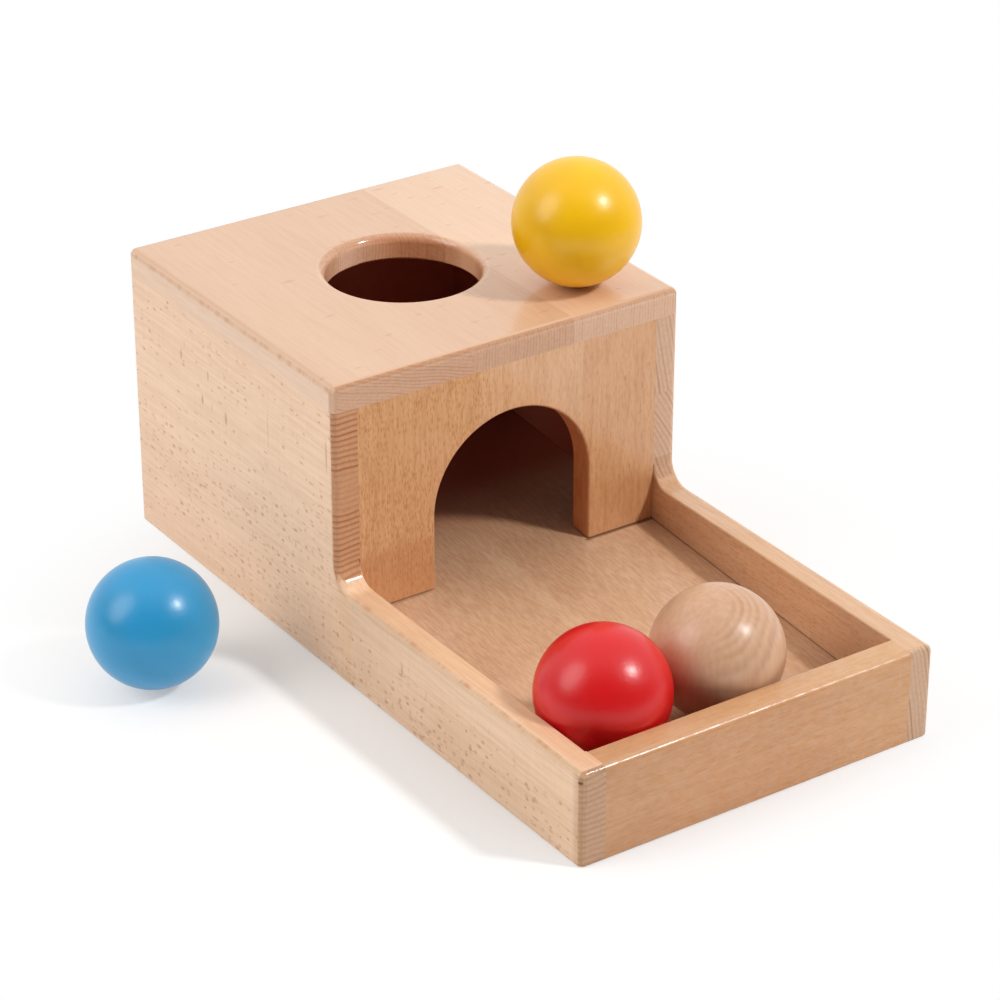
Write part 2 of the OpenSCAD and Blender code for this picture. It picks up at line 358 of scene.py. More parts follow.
BOARDS = {
    "left_side": Board(
        axes="YZX", tint=SIDE_TINT, end_tint=SIDE_END_TINT,
        staves=(Stave(-80, 0.98, 0.45, -3), Stave(34, 1.01, 1.0, -4),
                Stave(62, 1.02, 0.35, 0), Stave(76, 1.01, 1.0, 0)),
        flecks=(LOW_DOTS, LOW_DASHES, TRAY_DOTS, HIGH_DASHES), fleck_tint=BROWN_FLECK,
        pores=(16.0, 0.5, 0.016), ring_step=2.1, rays=0.016, faint_ring=0.65),
    "right_side": Board(
        axes="YZX", tint=RIGHT_TINT, end_tint=RIGHT_END_TINT,
        staves=(Stave(-80, 0.98, 0.8, 80), Stave(34, 0.88, 0.7, 72),
                Stave(44.5, 1.02, 0.6, 59), Stave(70, 1.02, 0.7, 81)),
        flecks=(RIGHT_DASHES,), fleck_tint=DARK_FLECK,
        pores=(6.0, 0.8, 0.03), ring_step=1.7, shift=(0.3, 0.1, 0.2)),
    "top_panel": Board(
        axes="YXZ", tint=TOP_TINT, end_tint=TOP_END_TINT,
        staves=(Stave(-80, 0.98, 0.45, 74), Stave(-15.6, 0.99, 0.35, 0), Stave(26, 1.14, 0.35, 0)),
        flecks=(TOP_DASHES,), fleck_tint=PINK_FLECK,
        pores=(9.0, 0.9, 0.012), ring_step=1.2, ends=(0.1, 0.3), round_shade_tone=0.74,
        fibre=0.03, end_coat=0.0, gloss=0.15),
    "arch_panel": Board(
        axes="ZXY", tint=FRONT_TINT, end_tint=SIDE_END_TINT,
        staves=(Stave(-80, 1.03, 0.6, 70), Stave(ARCH_SEAMS[0], 1.08, 0.4, 4),
                Stave(ARCH_SEAMS[1], 1.02, 0.4, 4)),
        flecks=(FRONT_DASHES, SOFT_DASHES), fleck_tint=ORANGE_FLECK,
        pores=(2.6, 0.5, 0.06), shift=(0.1, 0.2, 0.3)),
    "back_panel": Board(
        axes="ZXY", tint=FRONT_TINT, end_tint=SIDE_END_TINT,
        staves=(Stave(-80, 1.0, 0.6, 70), Stave(-22.0, 1.03, 0.5, 4), Stave(21.0, 1.0, 0.5, 4)),
        flecks=(FRONT_DASHES, SOFT_DASHES), fleck_tint=ORANGE_FLECK,
        pores=(2.6, 0.5, 0.04), shift=(0.5, 0.6, 0.7)),
    "front_rail": Board(
        axes="XZY", tint=RAIL_TINT, end_tint=SIDE_END_TINT,
        staves=(Stave(-80, 1.0, 0.6, 10),),
        flecks=(RAIL_DASHES,), fleck_tint=ORANGE_FLECK,
        pores=(2.6, 0.5, 0.03), shift=(0.9, 0.4, 0.1), fibre=0.06, gloss=0.24, relief=0.35),
}

# Beech: waves in a metre along the grain and across it, and how much each changes the tone
DRIFT_WAVES = (6.0, 40.0)
DRIFT_TONE = 0.03
FIBRE_WAVES = (45.0, 900.0)
RAY_WAVES = (700.0, 90.0)
SPECKLE_WAVES = 900.0
SPECKLE_TONE = 0.05
RIPPLE_WAVES = 320.0
RELIEF_DEPTH = 0.15 * MM

# Pores: waves in the length or width of one, and where the noise shows one
PORE_WAVES = 0.7
PORE_SPAN = (0.48, 0.68)

# Where a surface counts as a face, and where a rounded edge gives way to the end, by how far it faces
FACE_SPAN = (0.4, 0.75)
ROUND_SPAN = (0.85, 0.97)

# The sides' step: its hollow, in millimetres from the house's front, and where its end grain starts
HOLLOW_RUN = (-36.1, -0.1)
HOLLOW_ENDS = (0.70, 0.80)

# The softness of a border that looks sharp
SHARP = 0.05 * MM

# The stretch across a board in which staves can start, in millimetres
STAVE_REACH = 160.0

# Flecks: how they grow, fade at their edge, differ in strength and gather in patches
FLECK_GROWTH = (0.7, 1.4)
FLECK_EDGE = (0.3, 1.2)
FLECK_WEIGHT = (0.45, 1.0)
PATCH_WAVES = (25.0, 50.0)
PATCH_DENSITY = (0.4, 1.7)
BARE_SOFT = (8.0 * MM, 1.5 * MM)

# Rings: their bend, how each line grows from the early wood and ends, and how dark it is
RING_BEND = 2.6 * MM
RING_BEND_WAVES = (0.0, 45.0, 70.0)
RING_RISE = (0.35, 0.8)
RING_END = (0.85, 1.0, 1.0, 0.2)
RING_SHARE = 0.7

# Lacquer on wood
WOOD_SPECULAR = 0.35
FACE_ROUGHNESS = 0.5
END_ROUGHNESS = 0.75
COAT_IOR = 1.5
COAT_LOST = 0.6

# Painted shade inside the house: its borders, just past the room's faces, its strength and where it deepens
INSIDE_BORDER = (0.1, 0.4)
INSIDE_SPARE = 0.125 * MM
INSIDE_SOFT = 0.3 * MM
INSIDE_SHADE_SHARE = 0.95
INSIDE_COAT = 0.1
DEEP_RUN = (38.9, 113.9)


def board_space(shader, axes):
    """Metres along the grain, across the face and through the board."""
    parts = shader.parts(shader.coordinates["Object"])
    return shader.vector(*(parts[axis] for axis in axes))


def end_share(shader, facing, along, ends):
    """1 where the grain meets the surface head on, 0 on the long grain: later in the step's hollow."""
    hollow = shader.band(along, *span(HOUSE_Y, HOLLOW_RUN), SHARP)
    low, high = (shader.ramp(hollow, 0.0, 1.0, edge, late) for edge, late in zip(ends, HOLLOW_ENDS))
    return shader.ramp(facing, low, high)


def stave_values(shader, across, staves):
    """The tone, ring strength and ring turn (in radians) of the stave at each place."""
    reach = STAVE_REACH / 2
    stops = [((stave.start + reach) / STAVE_REACH, (stave.shade / 2, stave.rings, stave.turn / 180 + 0.5))
             for stave in staves]
    values = shader.parts(shader.steps(shader.spread(across, -reach * MM, reach * MM), stops))
    tone = shader.product(values["X"], 2.0)
    turn = shader.product(shader.minus(values["Z"], 0.5), math.pi)
    return tone, values["Y"], turn


def fleck_spots(shader, space, flecks):
    """1 on the spot in each cell, and three random shares for the cell."""
    length, width = flecks.size
    along_cell, across_cell = flecks.cell
    parts = shader.parts(space)
    flat = shader.vector(parts["X"], shader.plus(parts["Y"], parts["Z"]), 0.0)
    cells = shader.scaled(flat, (1.0 / (along_cell * MM), 1.0 / (across_cell * MM), 0.0))
    inputs = {"Vector": cells, "Scale": 1.0}
    points = shader.add("ShaderNodeTexVoronoi", inputs, voronoi_dimensions="2D").outputs
    away = shader.vectors("SUBTRACT", cells, points["Position"])[0]
    reach = shader.length(shader.scaled(away, (2.0 * along_cell / length, 2.0 * across_cell / width, 0.0)))
    chances = shader.parts(points["Color"])
    growth = shader.ramp(chances["Y"], 0.0, 1.0, *FLECK_GROWTH)
    return shader.fall(shader.math("DIVIDE", reach, growth), *FLECK_EDGE), chances


def fleck_mask(shader, space, across, flecks):
    """How strongly the flecks show at each place, from 0 to 1."""
    spot, chances = fleck_spots(shader, space, flecks)
    low, high, first, last = flecks.dense
    density = shader.ramp(across, low * MM, high * MM, first * flecks.share, last * flecks.share)
    patches = shader.vary(shader.streaks(space, PATCH_WAVES), *PATCH_DENSITY)
    chosen = shader.math("LESS_THAN", chances["X"], shader.product(density, patches))
    weight = shader.ramp(chances["Z"], 0.0, 1.0, *FLECK_WEIGHT)
    marks = shader.product(spot, chosen, weight, flecks.strength)
    if flecks.bare:
        along_from, along_to, across_from, across_to = (limit * MM for limit in flecks.bare)
        along_soft, across_soft = BARE_SOFT
        clear = shader.product(
            shader.band(shader.parts(space)["X"], along_from, along_to, along_soft),
            shader.band(across, across_from, across_to, across_soft))
        marks = shader.product(marks, shader.minus(1.0, clear))
    return marks


def ring_lines(shader, space, turn, board):
    """Dark late wood lines on the end grain, each ring with its own strength."""
    parts = shader.parts(space)
    leaning = shader.product(parts["Y"], shader.math("COSINE", turn))
    lying = shader.product(parts["Z"], shader.math("SINE", turn))
    bend = shader.noise(shader.scaled(space, RING_BEND_WAVES), detail=1.0)
    place = shader.plus(shader.plus(leaning, lying), shader.product(bend, RING_BEND))
    count = shader.product(place, 1.0 / (board.ring_step * MM))
    ring = shader.random(shader.math("FLOOR", count))
    part = shader.math("FRACT", count)
    line = shader.product(shader.ramp(part, *RING_RISE), shader.ramp(part, *RING_END))
    return shader.product(line, shader.ramp(ring, 0.0, 1.0, board.faint_ring, 1.0))


def inside_house(shader):
    """1 on the faces inside the house, where the painted shade goes, 0 elsewhere."""
    parts = shader.parts(shader.coordinates["Object"])
    sideways = shader.fall(shader.math("ABSOLUTE", parts["X"]), *span(INNER_X, INSIDE_BORDER))
    lengthways = shader.band(
        parts["Y"], ROOM_FRONT_Y - INSIDE_SPARE, ROOM_BACK_Y + INSIDE_SPARE, INSIDE_SOFT)
    upright = shader.fall(parts["Z"], *span(ROOM_TOP_Z, INSIDE_BORDER))
    return shader.product(sideways, lengthways, upright)


def long_grain(shader, board, grown, across, stave, fibre):
    """The colour of the faces: drifting tone, fine fibres, rays, pores and flecks."""
    drift = shader.streaks(grown, DRIFT_WAVES)
    rays = shader.streaks(grown, RAY_WAVES)
    length, width, strength = board.pores
    pore = shader.streaks(grown, (PORE_WAVES / (length * MM), PORE_WAVES / (width * MM)), detail=1.0)
    tone = shader.plus(
        shader.vary(drift, -DRIFT_TONE, DRIFT_TONE), shader.vary(fibre, -board.fibre, board.fibre))
    tone = shader.plus(tone, shader.plus(stave, shader.vary(rays, -board.rays, board.rays)))
    tone = shader.minus(tone, shader.ramp(pore, *PORE_SPAN, 0.0, strength * 2))
    colour = shader.shaded(board.tint, tone)
    face = shader.ramp(shader.facing(board.axes[2]), *FACE_SPAN)
    for flecks in board.flecks:
        marks = shader.product(fleck_mask(shader, grown, across, flecks), face)
        colour = shader.mix(marks, colour, board.fleck_tint)
    return colour


def end_grain(shader, board, space, grown, facing, staves):
    """The colour of the ends: fine speckle and ring lines, darker on the rounded edges, partly as painted
    shade.
    """
    stave, rings, turn = staves
    speckle = shader.grains(grown, SPECKLE_WAVES)
    # Darker end grain on the rounded edges, partly painted shade
    rounding = shader.ramp(facing, *ROUND_SPAN, board.round_shade_tone, 1.0)
    tone = shader.plus(shader.product(stave, rounding), shader.vary(speckle, -SPECKLE_TONE, SPECKLE_TONE))
    lines = shader.product(ring_lines(shader, space, turn, board), rings, RING_SHARE)
    return shader.mix(lines, shader.shaded(board.end_tint, tone), RING_TINT)


def beech(name, board, finish=None):
    """Lacquered beech: glued staves on the faces, rings on the ends, and painted shade inside the house."""
    shader = Shader(name)
    space = board_space(shader, board.axes)
    grown = shader.moved(space, board.shift)
    along, across = (shader.parts(space)[axis] for axis in "XY")
    staves = stave_values(shader, across, board.staves)
    fibre = shader.streaks(grown, FIBRE_WAVES, detail=3.0, roughness=0.65)
    facing = shader.facing(board.axes[0])
    ends = end_share(shader, facing, along, board.ends)
    colour = shader.mix(
        ends, long_grain(shader, board, grown, across, staves[0], fibre),
        end_grain(shader, board, space, grown, facing, staves))
    coat = shader.ramp(ends, 0.0, COAT_LOST, 1.0, board.end_coat)
    if finish:
        colour, coat = finish(shader, space, colour, coat)

    # Painted shade: the faces inside the house darken, more so towards the back
    inside = inside_house(shader)
    depth = shader.ramp(shader.parts(shader.coordinates["Object"])["Y"], *span(HOUSE_Y, DEEP_RUN))
    painted_shade = shader.mix(depth, INSIDE_SHADE_TINT, DEEP_SHADE_TINT)
    colour = shader.mix(shader.product(inside, INSIDE_SHADE_SHARE), colour, painted_shade)
    coat = shader.product(coat, shader.ramp(inside, 0.0, 1.0, 1.0, INSIDE_COAT))
    roughness = shader.ramp(ends, 0.0, 1.0, FACE_ROUGHNESS, END_ROUGHNESS)
    shader.set(Base_Color=colour, Roughness=roughness, Specular_IOR_Level=WOOD_SPECULAR)
    shader.set(Coat_Weight=coat, Coat_Roughness=board.gloss, Coat_IOR=COAT_IOR)
    height = shader.plus(fibre, shader.grains(grown, RIPPLE_WAVES))
    shader.set(Normal=shader.bump(height, board.relief, RELIEF_DEPTH))
    return shader.material


# The top's left edge, in millimetres from its left face and the roof: a flank made paler with painted light,
# over a broken line
FLANK_LIGHT_TINT = srgb(240, 200, 167)
FLANK_INWARD = (0.7, 2.2)
FLANK_HEIGHT = (-1.0, -0.2)
FLANK_SHARE = 0.9
FLANK_WAVES = (60.0, 900.0)
FLANK_TONES = (0.93, 1.05)
STREAK_INWARD = (2.1, 4.0)
STREAK_HEIGHT = (-2.3, -1.3)
STREAK_SOFT = 0.7 * MM
STREAK_WAVES = 170.0
STREAK_BREAKS = (0.42, 0.68, 0.08, 0.75)

# The top's front edge: the long grain's colour on the upper part of its rounding, made paler as a painted
# highlight
BROW_HIGHLIGHT_TINT = srgb(222, 181, 150)
BROW_END = (2.5, 2.9)
BROW_FACING = (0.12, 0.42, 0.12)

# The hole's rim: where it ends outside the hole, in millimetres, and its tints, with painted light on its
# left end, whose wall faces the lamp
RIM_END = (2.3, 3.1)
RIM_UPRIGHT = (0.35, 0.9)
RIM_LEFT = (0.2, 0.9)
RIM_GAINS = (1.06, 1.08, 1.10)
RIM_WALL_GAINS = (1.10, 0.88, 0.74)
RIM_LEFT_LIGHT_GAINS = (1.12, 1.45, 1.8)


def top_edges(shader, space, colour):
    """The top's left edge, with a paler flank of painted light over its broken line, and its front edge,
    with a pale brow of painted highlight.
    """
    along, across, height = (shader.parts(space)[axis] for axis in "XYZ")
    # Painted light: the flank of the rounded left edge is made paler
    flank = shader.product(
        shader.fall(across, *span(LEFT_X, FLANK_INWARD)),
        shader.ramp(height, *span(ROOF_Z, FLANK_HEIGHT), FLANK_SHARE, 0.0))
    fine = shader.streaks(space, FLANK_WAVES, detail=3.0, roughness=0.65)
    colour = shader.mix(flank, colour, shader.shaded(FLANK_LIGHT_TINT, shader.vary(fine, *FLANK_TONES)))
    broken = shader.ramp(shader.breaks(along, STREAK_WAVES, detail=5.0), *STREAK_BREAKS)
    streak = shader.product(
        shader.fall(across, *span(LEFT_X, STREAK_INWARD)),
        shader.band(height, *span(ROOF_Z, STREAK_HEIGHT), STREAK_SOFT), broken)
    colour = shader.mix(streak, colour, EDGE_TINT)
    # Painted highlight: the upper part of the front edge's rounding is made paler
    brow_highlight = shader.product(
        shader.fall(along, *span(HOUSE_Y, BROW_END)), shader.band(shader.facing("Y"), *BROW_FACING))
    return shader.mix(brow_highlight, colour, BROW_HIGHLIGHT_TINT)


def top_finish(shader, space, colour, coat):
    """The top board's edges, and the shiny rim of its hole, warmer on its wall and paler at its left end,
    where painted light stands for the lamp that its wall faces.
    """
    colour = top_edges(shader, space, colour)
    along, across = (shader.parts(space)[axis] for axis in "XY")
    radius = shader.length(shader.vector(shader.minus(along, HOLE_Y), shader.minus(across, HOLE_X), 0.0))
    rim = shader.fall(radius, *span(HOLE_RADIUS, RIM_END))
    wall = shader.product(rim, shader.fall(shader.parts(shader.normal)["Z"], *RIM_UPRIGHT))
    left_end = shader.ramp(shader.towards(shader.normal, (*SEEN_RIGHT, 0.0)), *RIM_LEFT)
    colour = shader.tinted(rim, colour, RIM_GAINS)
    colour = shader.tinted(wall, colour, RIM_WALL_GAINS)
    # Painted light on the rim's left end, whose wall faces the lamp
    colour = shader.tinted(shader.product(wall, left_end), colour, RIM_LEFT_LIGHT_GAINS)
    return colour, shader.math("MAXIMUM", coat, rim)


# The arch panel: its deeper feet, its middle stave, and the doorway's inner edge, warmer and darker as
# painted shade
FOOT_TINT = srgb(204, 130, 70)
FOOT_TOP = (40.5 * MM, 44.0 * MM)
FOOT_SHARES = (0.0, 20.0 * MM, 0.3, 0.2)
MIDDLE_GAINS = (1.01, 1.05, 1.11)
REVEAL_FACING = (0.2, 0.6)
REVEAL_SHADE_GAINS = (1.13, 0.87, 0.73)


def arch_finish(shader, space, colour, coat):
    """The arch panel's feet, deeper in colour low down, and the inner edge of its doorway, warmer and darker
    as painted shade.
    """
    height, across = (shader.parts(space)[axis] for axis in "XY")
    foot = shader.product(shader.fall(height, *FOOT_TOP), shader.ramp(across, *FOOT_SHARES))
    colour = shader.mix(foot, colour, FOOT_TINT)
    middle = shader.band(across, *span(0.0, ARCH_SEAMS), SHARP)
    colour = shader.tinted(middle, colour, MIDDLE_GAINS)
    # Painted shade: the doorway's inner edge, which lies in shade, is made warmer and darker
    reveal = shader.fall(shader.facing("Y"), *REVEAL_FACING)
    return shader.tinted(reveal, colour, REVEAL_SHADE_GAINS), coat


# The rail: its upper face, its two ends and the worn lacquer
RAIL_UPWARD = (0.6, 0.95)
RAIL_UPPER_GAINS = (1.02, 1.09, 1.15)
RAIL_LEFT = (-60.0 * MM, -25.0 * MM)
RAIL_LEFT_GAINS = (0.93, 0.94, 0.95)
RAIL_RIGHT = (10.0 * MM, 50.0 * MM)
RAIL_RIGHT_GAINS = (1.04, 1.09, 1.11)
RAIL_WEAR_WAVES = (300.0, 500.0)
RAIL_WEAR = (0.40, 0.60, 0.35, 1.0)


def rail_finish(shader, space, colour, coat):
    """The rail's upper face, paler than its front, and its right end, paler than its left."""
    along = shader.parts(space)["X"]
    upward = shader.ramp(shader.parts(shader.normal)["Z"], *RAIL_UPWARD)
    colour = shader.tinted(upward, colour, RAIL_UPPER_GAINS)
    colour = shader.tinted(shader.fall(along, *RAIL_LEFT), colour, RAIL_LEFT_GAINS)
    colour = shader.tinted(shader.ramp(along, *RAIL_RIGHT), colour, RAIL_RIGHT_GAINS)
    wear_and_shade = shader.ramp(shader.streaks(space, RAIL_WEAR_WAVES), *RAIL_WEAR)
    return colour, shader.product(coat, wear_and_shade)


# Either side, in millimetres from the part's front or from the house's
SIDE_FRONT = (0.8, 2.4)
SIDE_UPWARD = (0.5, 0.9)
SIDE_LOW = (-10.1, -4.1)
SIDE_STEP = (-9.1, -0.1)
STEP_COAT = 0.4
RIGHT_FRONT_GAINS = (0.83, 0.82, 0.80)
RIGHT_UPPER_GAINS = (1.02, 1.10, 1.13)


def side_finish(shader, space, colour, coat, front_gains, upper_gains):
    """Either side: its tray wall differs at the front end and on top, and its step shines less."""
    along = shader.parts(space)["X"]
    colour = shader.tinted(shader.fall(along, *span(FRONT_Y, SIDE_FRONT)), colour, front_gains)
    upward = shader.ramp(shader.parts(shader.normal)["Z"], *SIDE_UPWARD)
    low = shader.fall(along, *span(HOUSE_Y, SIDE_LOW))
    colour = shader.tinted(shader.product(upward, low), colour, upper_gains)
    step = shader.band(along, *span(HOUSE_Y, SIDE_STEP), SHARP)
    return colour, shader.product(coat, shader.ramp(step, 0.0, 1.0, 1.0, STEP_COAT))


def right_finish(shader, space, colour, coat):
    return side_finish(shader, space, colour, coat, RIGHT_FRONT_GAINS, RIGHT_UPPER_GAINS)


# The left side, in millimetres from its outer face, its front, the house's front or the tray wall's top
LEFT_FRONT_GAINS = (0.81, 0.94, 1.10)
LEFT_UPPER_GAINS = (0.84, 0.80, 0.77)
OUTER_INWARD = (0.9, 1.5)
LEFT_WALL = (-14.1, 5.9)
LEFT_WALL_GAINS = (0.894, 0.912, 0.911)
# Painted shade before the front corner's rounding, and painted light on it, standing for the shading of a
# rounder corner
SHADE_START = (1.8, 2.2)
SHADE_END = (2.2, 5.4)
SHADE_INWARD = (0.3, 0.7)
CORNER_SHADE_GAINS = (0.80, 0.75, 0.73)
CORNER_END = (2.2, 2.6)
CORNER_INWARD = (2.9, 3.3)
CORNER_FACING = (0.35, 0.85, 0.12)
CORNER_LIGHT_GAINS = (1.20, 1.22, 1.18)
LINE_INWARD = (1.5, 2.2)
LINE_HEIGHT = (-0.65, -0.25)
LINE_SOFT = 0.3 * MM
LINE_END = (-14.1, -8.1)
LINE_WAVES = 95.0
LINE_BREAKS = (0.45, 0.62, 0.0, 0.85)

# Single marks that the photograph shows on the left side's outer face
MARK_EDGE = (0.3, 1.2)
MARK_TINT = srgb(176, 112, 62)
SIDE_MARKS = (
    Mark(237.0, 81.0, (1.8, 4.6), 0.55), Mark(218.5, 80.0, (1.6, 5.0), 0.48),
    Mark(223.0, 69.0, (1.9, 4.6), 0.60), Mark(207.0, 68.0, (1.9, 6.0), 0.60),
    Mark(178.5, 76.0, (1.0, 20.0), 0.26), Mark(140.8, 82.0, (1.4, 14.0), 0.50),
    Mark(96.0, 22.0, (1.5, 7.0), 0.50))
KNOT_TINT = srgb(104, 54, 38)
KNOT = Mark(-4.3, 31.0, (2.0, 1.5), 0.9)


def left_corner(shader, space, colour):
    """The left side's front corner: painted shade before its rounding, standing for the shading of a rounder
    corner, and painted light on the rounding.
    """
    along, through = (shader.parts(space)[axis] for axis in "XZ")
    # Painted shade before the rounding
    wear_and_shade = shader.product(
        shader.fall(along, *span(FRONT_Y, SHADE_END)), shader.ramp(along, *span(FRONT_Y, SHADE_START)),
        shader.fall(through, *span(LEFT_X, SHADE_INWARD)))
    colour = shader.tinted(wear_and_shade, colour, CORNER_SHADE_GAINS)
    # Painted light on the rounding
    corner = shader.product(
        shader.fall(along, *span(FRONT_Y, CORNER_END)), shader.band(shader.facing("Y"), *CORNER_FACING),
        shader.fall(through, *span(LEFT_X, CORNER_INWARD)))
    return shader.tinted(corner, colour, CORNER_LIGHT_GAINS)


def left_line(shader, space, colour):
    """A broken line along the tray wall's upper left edge."""
    along, height, through = (shader.parts(space)[axis] for axis in "XYZ")
    broken = shader.ramp(shader.breaks(along, LINE_WAVES, detail=4.0), *LINE_BREAKS)
    line = shader.product(
        shader.band(height, *span(WALL_Z, LINE_HEIGHT), LINE_SOFT),
        shader.fall(through, *span(LEFT_X, LINE_INWARD)),
        shader.fall(along, *span(HOUSE_Y, LINE_END)), broken)
    return shader.mix(line, colour, EDGE_TINT)


def mark_mask(shader, space, mark):
    """The mark's strength on it, 0 elsewhere."""
    along, height = (shader.parts(space)[axis] for axis in "XY")
    length, tall = mark.size
    away = shader.vector(
        shader.product(shader.minus(along, mark.along * MM), 2.0 / (length * MM)),
        shader.product(shader.minus(height, mark.height * MM), 2.0 / (tall * MM)), 0.0)
    return shader.ramp(shader.length(away), *MARK_EDGE, mark.strength, 0.0)


def left_finish(shader, space, colour, coat):
    """The left side: a deeper tray wall, a corner with painted shade and light, a broken edge line and
    single marks.
    """
    colour, coat = side_finish(shader, space, colour, coat, LEFT_FRONT_GAINS, LEFT_UPPER_GAINS)
    along, through = (shader.parts(space)[axis] for axis in "XZ")
    outer = shader.fall(through, *span(LEFT_X, OUTER_INWARD))
    wall = shader.product(shader.fall(along, *span(HOUSE_Y, LEFT_WALL)), outer)
    colour = shader.tinted(wall, colour, LEFT_WALL_GAINS)
    colour = left_corner(shader, space, colour)
    colour = left_line(shader, space, colour)
    for mark in SIDE_MARKS:
        colour = shader.mix(shader.product(mark_mask(shader, space, mark), outer), colour, MARK_TINT)
    return shader.mix(shader.product(mark_mask(shader, space, KNOT), outer), colour, KNOT_TINT), coat


FINISHES = {
    "top_panel": top_finish, "arch_panel": arch_finish, "front_rail": rail_finish,
    "left_side": left_finish, "right_side": right_finish}

# The floor sheet: its grain, a pale streak of painted reflection, and painted shade in the seams beside the
# walls and the arch panel's feet
PLY_TINT = srgb(203, 159, 123)
PLY_DRIFT_WAVES = (8.0, 40.0)
PLY_DRIFT_TONES = (0.95, 1.05)
PLY_FIBRE_WAVES = (170.0, 1100.0)
PLY_FIBRE_TONES = (-0.15, 0.12)
PLY_SHEEN_ACROSS = (-3.0 * MM, 0.0, 4.0 * MM)
PLY_SHEEN_ALONG = (90.0 * MM, 140.0 * MM, 20.0 * MM)
PLY_SHEEN_TONE = 0.10
SEAM_SHADE_GAINS = (0.48, 0.38, 0.32)
SEAM_BESIDE = (-1.0, 0.0)
SEAM_FRONT = (-0.8, 0.1)
SEAM_SOFT = 0.6 * MM
SEAM_FEET = (-1.0, 1.0)
SEAM_SIDES = (-5.0 * MM, 5.0 * MM, 0.3, 1.0)
PLY_DEEP = (15.9, 58.9)
PLY_COAT = (0.0, 0.9, 0.7, 0.1)
PLY_COAT_ROUGHNESS = 0.2
PLY_RELIEF = 0.15
FINE_DEPTH = 0.2 * MM


def floor_seam_shade(shader, along, across):
    """Where painted shade darkens the seams: 1 beside the tray's walls and before the arch panel's feet,
    weaker at the left foot.
    """
    beside = shader.math("ABSOLUTE", across)
    walls = shader.ramp(beside, *span(INNER_X, SEAM_BESIDE))
    feet = shader.product(
        shader.band(along, *span(HOUSE_Y, SEAM_FRONT), SEAM_SOFT),
        shader.ramp(beside, *span(ARCH_RADIUS, SEAM_FEET)), shader.ramp(across, *SEAM_SIDES))
    return shader.math("MAXIMUM", walls, feet)


def plywood(name):
    """The floor sheet: a browner veneer with fine dashes, a pale streak of painted reflection down its
    middle, painted shade in its seams and painted shade inside the house.
    """
    shader = Shader(name)
    space = board_space(shader, "YXZ")
    along, across = (shader.parts(space)[axis] for axis in "XY")
    drift = shader.streaks(space, PLY_DRIFT_WAVES, detail=3.0)
    fibre = shader.streaks(space, PLY_FIBRE_WAVES, detail=3.0, roughness=0.7)
    # Painted reflection: a pale streak down the middle of the floor
    streak = shader.product(
        shader.band(across, *PLY_SHEEN_ACROSS), shader.band(along, *PLY_SHEEN_ALONG), PLY_SHEEN_TONE)
    tone = shader.plus(shader.vary(drift, *PLY_DRIFT_TONES), shader.vary(fibre, *PLY_FIBRE_TONES))
    colour = shader.shaded(PLY_TINT, shader.plus(tone, streak))
    # Painted shade in the seams beside the walls and before the arch panel's feet
    colour = shader.tinted(floor_seam_shade(shader, along, across), colour, SEAM_SHADE_GAINS)
    # Painted shade on the floor inside the house, deepening towards the back
    deep = shader.ramp(along, *span(HOUSE_Y, PLY_DEEP), 0.0, INSIDE_SHADE_SHARE)
    inside_shade = shader.product(inside_house(shader), deep)
    colour = shader.mix(inside_shade, colour, INSIDE_SHADE_TINT)
    shader.set(Base_Color=colour, Roughness=FACE_ROUGHNESS, Specular_IOR_Level=WOOD_SPECULAR)
    shader.set(Coat_Weight=shader.ramp(inside_shade, *PLY_COAT), Coat_Roughness=PLY_COAT_ROUGHNESS)
    shader.set(Normal=shader.bump(fibre, PLY_RELIEF, FINE_DEPTH))
    return shader.material


# Dowels
DOWEL_TINTS = (srgb(206, 164, 120), srgb(222, 184, 142))
DOWEL_WAVES = (900.0, 900.0, 90.0)
DOWEL_ROUGHNESS = 0.6
DOWEL_RELIEF = 0.2


def dowel_wood(name):
    """Plain beech pegs inside the joints."""
    shader = Shader(name)
    fibre = shader.noise(shader.scaled(shader.coordinates["Object"], DOWEL_WAVES), detail=3.0)
    shader.set(Base_Color=shader.mix(shader.vary(fibre, 0.0, 1.0), *DOWEL_TINTS), Roughness=DOWEL_ROUGHNESS)
    shader.set(Normal=shader.bump(fibre, DOWEL_RELIEF, FINE_DEPTH))
    return shader.material


# Painted balls
PAINT_TINTS = {
    "yellow": srgb(250, 192, 8),
    "blue": srgb(44, 150, 202),
    "red": srgb(216, 20, 24),
}
PEEL_WAVES = 650.0
PEEL_RELIEF = 0.22
PAINT_WAVES = 60.0
PAINT_TONES = (0.97, 1.03)


def paint(name, tint):
    """Satin paint over turned wood, with a faint orange peel."""
    shader = Shader(name)
    peel = shader.grains(shader.coordinates["Object"], PEEL_WAVES)
    wide = shader.grains(shader.coordinates["Object"], PAINT_WAVES)
    shader.set(Base_Color=shader.shaded(tint, shader.vary(wide, *PAINT_TONES)))
    shader.set(Roughness=0.32, Specular_IOR_Level=0.5, Coat_Weight=0.05, Coat_Roughness=0.18)
    shader.set(Normal=shader.bump(peel, PEEL_RELIEF, FINE_DEPTH))
    return shader.material


